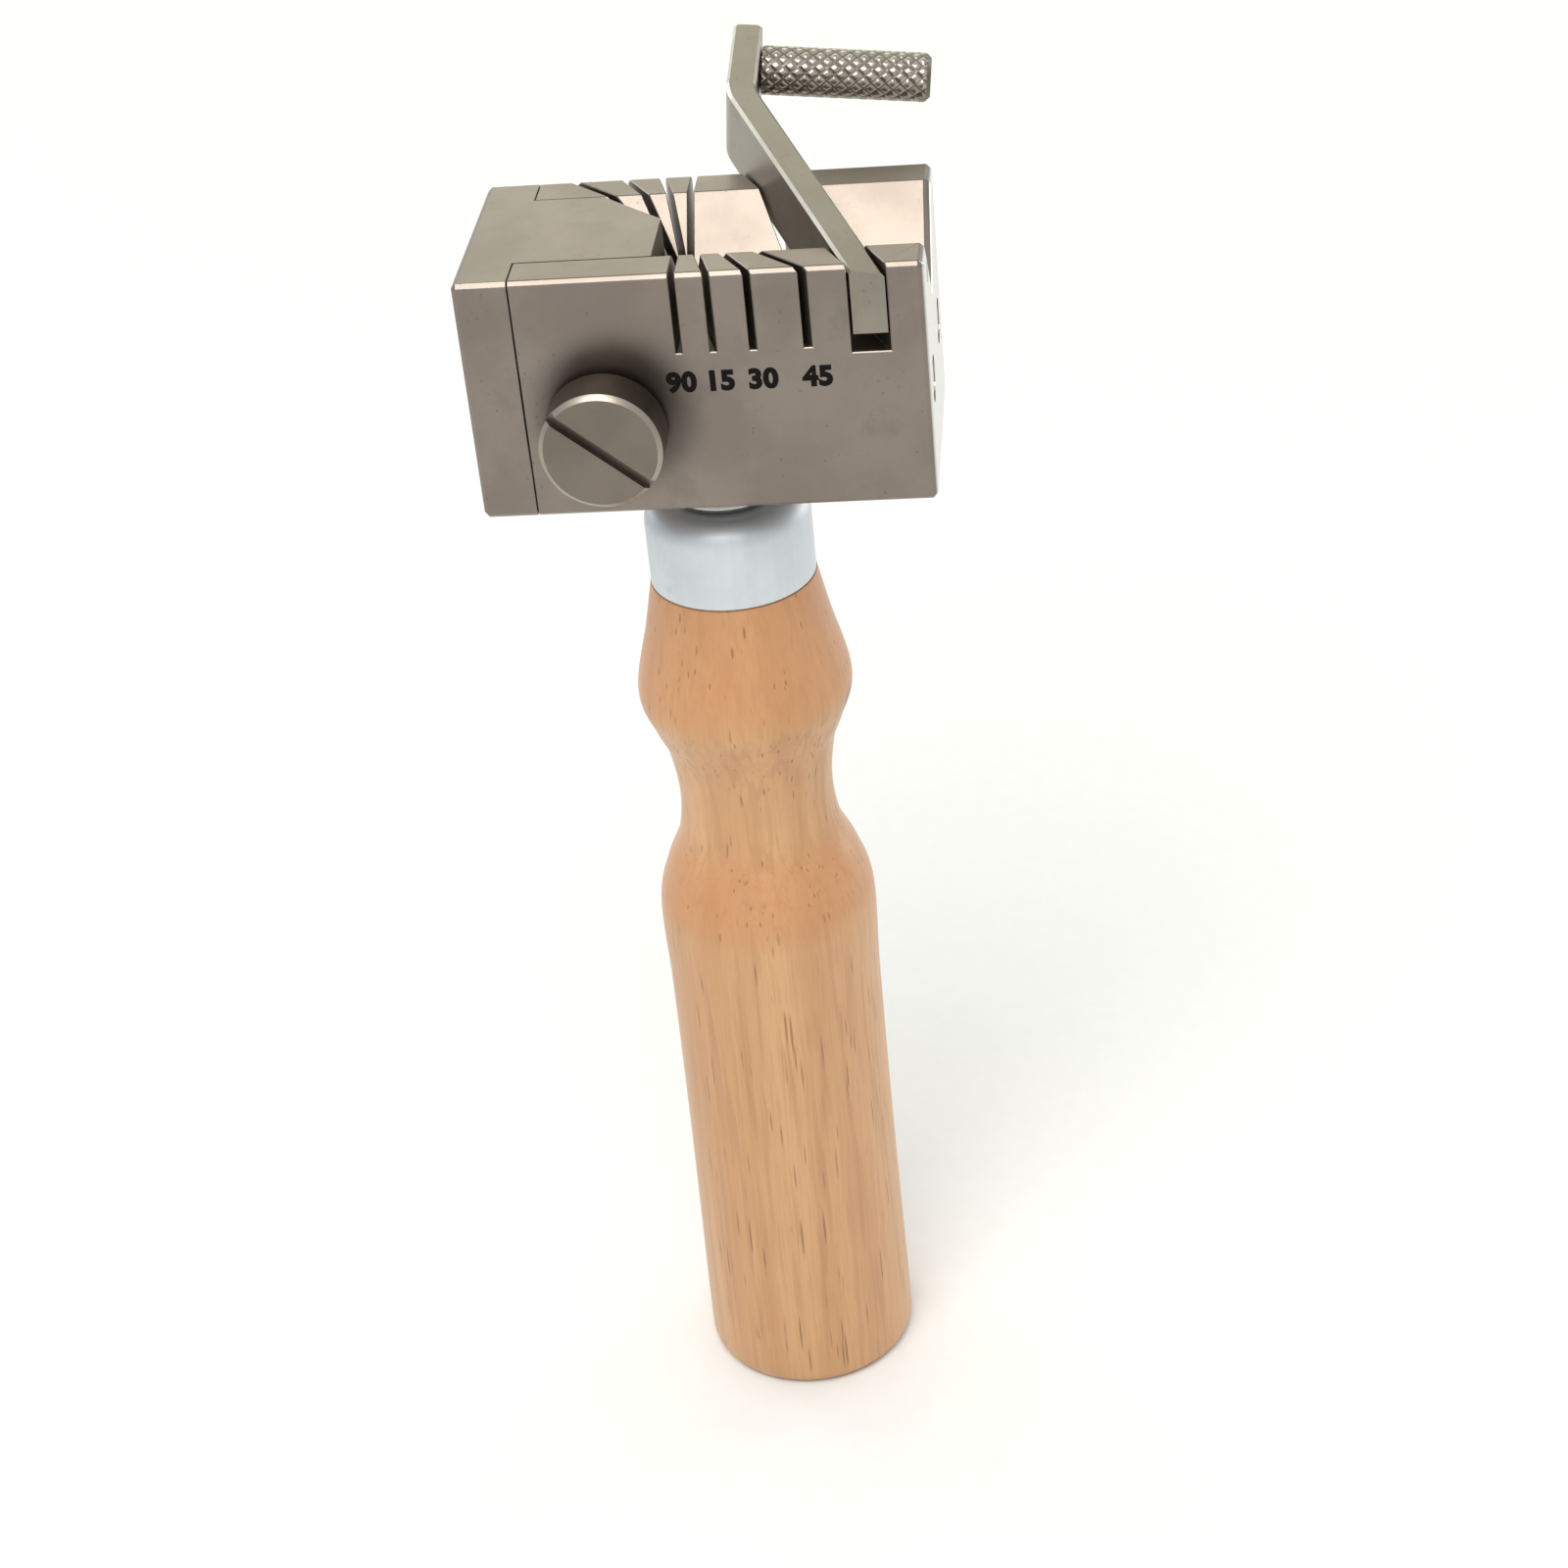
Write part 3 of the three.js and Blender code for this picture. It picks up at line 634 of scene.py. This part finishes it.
# ---------------------------------------------------------------- the lock screw
def lock_screw(material):
    low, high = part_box("lock_screw")
    radius = (high.x - low.x) / 2 / MM
    length = (high.y - low.y) / MM
    head = SCREW_HEAD_LENGTH
    outline = [
        (0, 0),
        (radius - SCREW_EDGE, 0),
        (radius, SCREW_EDGE),
        (radius, head - SCREW_EDGE),
        (radius - SCREW_EDGE, head),
        (SCREW_SHANK_RADIUS, head),
        (SCREW_SHANK_RADIUS, length),
        (0, length),
    ]
    slot = bmesh.new()
    longer_than_head = 4 * radius
    size = (longer_than_head * MM, SCREW_SLOT_WIDTH * MM, 2 * SCREW_SLOT_DEPTH * MM)
    bmesh.ops.create_cube(slot, size=1, matrix=Matrix.Diagonal((*size, 1)))
    bmesh.ops.rotate(slot, verts=slot.verts, matrix=Matrix.Rotation(-SCREW_SLOT_ANGLE, 3, "Z"))
    bm = cut(turned(outline, sides=128), slot, "slotted_screw")
    bmesh.ops.bevel(
        bm,
        geom=sharp_edges(bm, sharper_than=40),
        offset=SCREW_ROUNDING * MM,
        segments=2,
        profile=0.5,
        affect="EDGES",
        clamp_overlap=True,
    )
    place = placed_along(Vector(((low.x + high.x) / 2, low.y, (low.z + high.z) / 2)), Vector((0, 1, 0)))
    flat_faces_stay_flat(new_piece("slotted_lock_screw", bm, "lock_screw", material, place))


# ---------------------------------------------------------------- the clamp lever
def largest_upward_face(bm):
    steepest = 0.9  # the least Z of an upward face's normal
    return max(bm.faces, key=lambda face: face.calc_area() * (face.normal.z > steepest))


def join_faces_level_with(bm, level_face):
    """Dissolves the faces that lie in the given face's plane into one."""
    same_plane_within = 0.01 * MM
    point, normal = level_face.verts[0].co.copy(), level_face.normal.copy()

    def in_plane(vertex):
        return abs((vertex.co - point).dot(normal)) < same_plane_within

    level = [face for face in bm.faces if all(in_plane(v) for v in face.verts)]
    bmesh.ops.dissolve_faces(bm, faces=level)


def clamp_lever(material, highlight_material):
    """The bent strip, with its top chamfered behind the block's face, and a painted highlight on the left
    edge's chamfer.
    """
    plain, highlight_index = 0, 1
    bm = joined_up("clamp_lever")
    join_faces_level_with(bm, largest_upward_face(bm))
    top = largest_upward_face(bm)
    chamfer_from = FACE_Y + LEVER_EDGE_STARTS * MM
    behind_face = [e for e in top.edges if max(v.co.y for v in e.verts) > chamfer_from]
    chamfered(bm, behind_face, LEVER_EDGE, material=highlight_index)
    bm.normal_update()
    # The painted highlight is kept off faces that look right, away from the light.
    for face in bm.faces:
        if face.normal.x > 0:
            face.material_index = plain
    lever = new_piece("lever_strip", bm, "clamp_lever", material, sharp_degrees=BENT_SHARP)
    lever.data.materials.append(highlight_material)
    flat_faces_stay_flat(lever)


def knurled_radius(around, along):
    """Radius of the knurled pin, from turns round its axis and millimetres along it."""
    deepest = 0.0
    for hand in (1, -1):
        phase = (KNURL_STARTS * around + hand * along / KNURL_PITCH) % 1
        toward_groove = abs(2 * phase - 1)
        deepest = max(deepest, (toward_groove - KNURL_FLAT) / (1 - KNURL_FLAT))
    return PIN_RADIUS - KNURL_DEPTH * deepest


def thumb_pin(material):
    """The spigot in the lever, a short neck, and the diamond-knurled grip with its chamfered end."""
    start, direction, length, _ = turned_axis("thumb_pin")
    grip_start = SPIGOT_LENGTH + PIN_NECK_LENGTH
    grip_length = length - grip_start
    rows = round(grip_length / KNURL_PITCH * KNURL_STEPS)
    sides = KNURL_STARTS * KNURL_STEPS
    spigot = [(0, 0), (SPIGOT_RADIUS, 0), (SPIGOT_RADIUS, SPIGOT_LENGTH), (PIN_NECK_RADIUS, SPIGOT_LENGTH)]
    bm = turned(spigot, sides)
    rim = {v for e in bm.edges if e.is_boundary for v in e.verts}
    ring = sorted(rim, key=lambda v: math.atan2(v.co.y, v.co.x) % (2 * math.pi))
    for row in range(rows + 1):
        along = row / rows * grip_length
        end_limit = PIN_RADIUS - max(0.0, PIN_EDGE - (grip_length - along))
        start_limit = PIN_RADIUS - max(0.0, PIN_START_EDGE - along)
        fresh = []
        for k in range(sides):
            radius = min(knurled_radius(k / sides, along), end_limit, start_limit) * MM
            angle = 2 * math.pi * k / sides
            height = (grip_start + along) * MM
            fresh.append(bm.verts.new((radius * math.cos(angle), radius * math.sin(angle), height)))
        for k in range(sides):
            after = (k + 1) % sides
            bm.faces.new((ring[k], ring[after], fresh[after], fresh[k]))
        ring = fresh
    tip = bm.verts.new((0, 0, ring[0].co.z))
    for k in range(sides):
        bm.faces.new((ring[k], ring[(k + 1) % sides], tip))
    bmesh.ops.recalc_face_normals(bm, faces=bm.faces)
    place = placed_along(start, direction)
    new_piece("knurled_pin", bm, "thumb_pin", material, place)


# ---------------------------------------------------------------- the handle
def wooden_handle(material):
    low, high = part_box("ferrule")
    ferrule_radius = (high.x - low.x) / 2 / MM
    tenon_depth = FERRULE_WALL + FIXED_GAP
    shoulder = (ferrule_radius - FERRULE_ROUND, high.z / MM - FERRULE_ROUND)
    butt_radius = HANDLE_OUTLINE[-1][0]
    outline = [
        (0, high.z / MM - tenon_depth),
        *arc(*shoulder, FERRULE_ROUND - tenon_depth, 90, 0, 6),
        (ferrule_radius - tenon_depth, low.z / MM),
        *smooth_outline(HANDLE_OUTLINE, 10),
        *arc(butt_radius - BUTT_ROUND, BUTT_ROUND, BUTT_ROUND, 0, -90, 8),
        (0, 0),
    ]
    new_piece("beech_handle", turned(outline, sides=160), "handle", material)


def ferrule(material):
    low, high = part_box("ferrule")
    radius = (high.x - low.x) / 2 / MM
    foot, top = low.z / MM, high.z / MM
    inner = radius - FERRULE_WALL
    shoulder = (radius - FERRULE_ROUND, top - FERRULE_ROUND)
    side_foot = foot + FERRULE_LIP
    side_height = top - foot - FERRULE_LIP - FERRULE_ROUND
    side = [(radius, side_foot + side_height * i / FERRULE_ROWS) for i in range(FERRULE_ROWS)]
    outline = [
        (inner, foot),
        (radius - FERRULE_LIP, foot),
        *side,
        *arc(*shoulder, FERRULE_ROUND, 0, 90, 12),
        (FERRULE_HOLE_RADIUS, top),
        (FERRULE_HOLE_RADIUS, top - FERRULE_WALL),
        *arc(*shoulder, FERRULE_ROUND - FERRULE_WALL, 90, 0, 6),
        (inner, foot),
    ]
    same_point_within = 0.001 * MM
    bm = turned(outline, sides=256)
    bmesh.ops.remove_doubles(bm, verts=bm.verts, dist=same_point_within)
    press_dimple(bm, radius, foot)
    new_piece("plated_ferrule", bm, "ferrule", material)


def press_dimple(bm, radius, foot):
    """The dent of the punch that holds the ferrule on the wood."""
    heading = Vector((math.sin(DIMPLE_ANGLE), -math.cos(DIMPLE_ANGLE), 0))
    centre = heading * radius * MM + Vector((0, 0, (foot + DIMPLE_ABOVE_FOOT) * MM))
    for vertex in bm.verts:
        away = (vertex.co - centre).length / (DIMPLE_RADIUS * MM)
        if away < 1 and vertex.co.xy.length > (radius - 0.5 * FERRULE_WALL) * MM:
            vertex.co -= heading * DIMPLE_DEPTH * MM * (0.5 + 0.5 * math.cos(math.pi * away))


def tang_stud(material):
    low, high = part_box("tang_stud")
    neck = (high.x - low.x) / 2 / MM
    ferrule_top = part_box("ferrule")[1].z / MM
    bead_foot = ferrule_top + FIXED_GAP
    neck_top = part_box("jig_body")[0].z / MM - FIXED_GAP
    outline = [
        (0, low.z / MM),
        (TANG_TIP_RADIUS, low.z / MM),
        (TANG_RADIUS, (low.z / MM + ferrule_top) / 2),
        (TANG_RADIUS, bead_foot),
        *arc(neck - BEAD_RADIUS, bead_foot + BEAD_RADIUS, BEAD_RADIUS, -90, 80, 12),
        (neck - BEAD_RADIUS, neck_top - NECK_CHAMFER),
        (neck - BEAD_RADIUS - NECK_CHAMFER, neck_top),
        (STUD_RADIUS, neck_top),
        (STUD_RADIUS, high.z / MM),
        (0, high.z / MM),
    ]
    new_piece("threaded_stud", turned(outline, sides=96), "tang_stud", material)


# ---------------------------------------------------------------- stage, light and camera
def pale_floor():
    bm = bmesh.new()
    bmesh.ops.create_grid(bm, x_segments=8, y_segments=8, size=3.0)
    floor = new_object("floor", finished_mesh(bm, "floor"))
    r = Recipe("pale_paper")
    r.colour(r.mix(r.noise(400, detail=4), (0.8, 0.8, 0.79), (0.84, 0.84, 0.825)))
    r.shader.inputs["Roughness"].default_value = 0.9
    floor.data.materials.append(r.material)


def area_light(name, place, aim, size, power, colour=(1, 1, 1)):
    data = bpy.data.lights.new(name, "AREA")
    data.shape = "DISK"
    data.size = size
    data.energy = power
    data.color = colour
    light = bpy.data.objects.new(name, data)
    light.location = place
    light.rotation_euler = (Vector(aim) - Vector(place)).to_track_quat("-Z", "Y").to_euler()
    light.visible_camera = False
    bpy.context.scene.collection.objects.link(light)


def studio():
    world = bpy.data.worlds.new("studio")
    world.use_nodes = True
    world.node_tree.nodes["Background"].inputs["Color"].default_value = (0.97, 0.985, 1, 1)
    world.node_tree.nodes["Background"].inputs["Strength"].default_value = 0.75
    bpy.context.scene.world = world
    area_light("overhead", (-0.08, -0.4, 0.74), (0, 0, 0.12), 0.5, 3.9, (1.0, 0.98, 0.92))
    area_light("behind", (-0.09, 0.78, 0.64), (0, 0, 0.14), 0.8, 1.4, (1.0, 1.0, 0.72))
    area_light("left", (-0.7, 0.56, 0.38), (0, 0, 0.13), 0.4, 1.2)
    area_light("right", (0.7, 0.62, 0.2), (0, 0, 0.12), 0.5, 2.2)


def camera():
    data = bpy.data.cameras.new("camera")
    data.sensor_width = 36
    data.lens = 72.3
    data.clip_start = 0.01
    view = bpy.data.objects.new("camera", data)
    azimuth, elevation, roll = math.radians(7.16), math.radians(32.28), math.radians(-5.79)
    aim = Vector((3.65, -5.31, 80.17)) * MM
    distance = 335 * MM
    back = Vector(
        (
            math.sin(azimuth) * math.cos(elevation),
            -math.cos(azimuth) * math.cos(elevation),
            math.sin(elevation),
        )
    )
    view.rotation_mode = "QUATERNION"
    view.location = aim + back * distance
    level = (-back).to_track_quat("-Z", "Y")
    view.rotation_quaternion = level @ Matrix.Rotation(roll, 3, "Z").to_quaternion()
    bpy.context.scene.collection.objects.link(view)
    bpy.context.scene.camera = view


bpy.context.scene.view_settings.view_transform = "Standard"

camera()
studio()
pale_floor()

block = block_steel()
ground = ground_steel()
jig_body(block)
slide_stop(block)
numbers(number_ink())
for rod in ("guide_rod_front", "guide_rod_back"):
    round_bar(rod + "_ground", rod, ROD_START_CHAMFER, ROD_END_CHAMFER, ground)
pivot_pin(ground)
round_bar("brass_pad", "lock_pad", PAD_CHAMFER, PAD_CHAMFER, pad_brass())
lock_screw(screw_steel())
clamp_lever(lever_steel(), painted_highlight_edge())
thumb_pin(knurled_nickel())
tang_stud(polished_steel())
ferrule(ferrule_plate())
wooden_handle(beech())
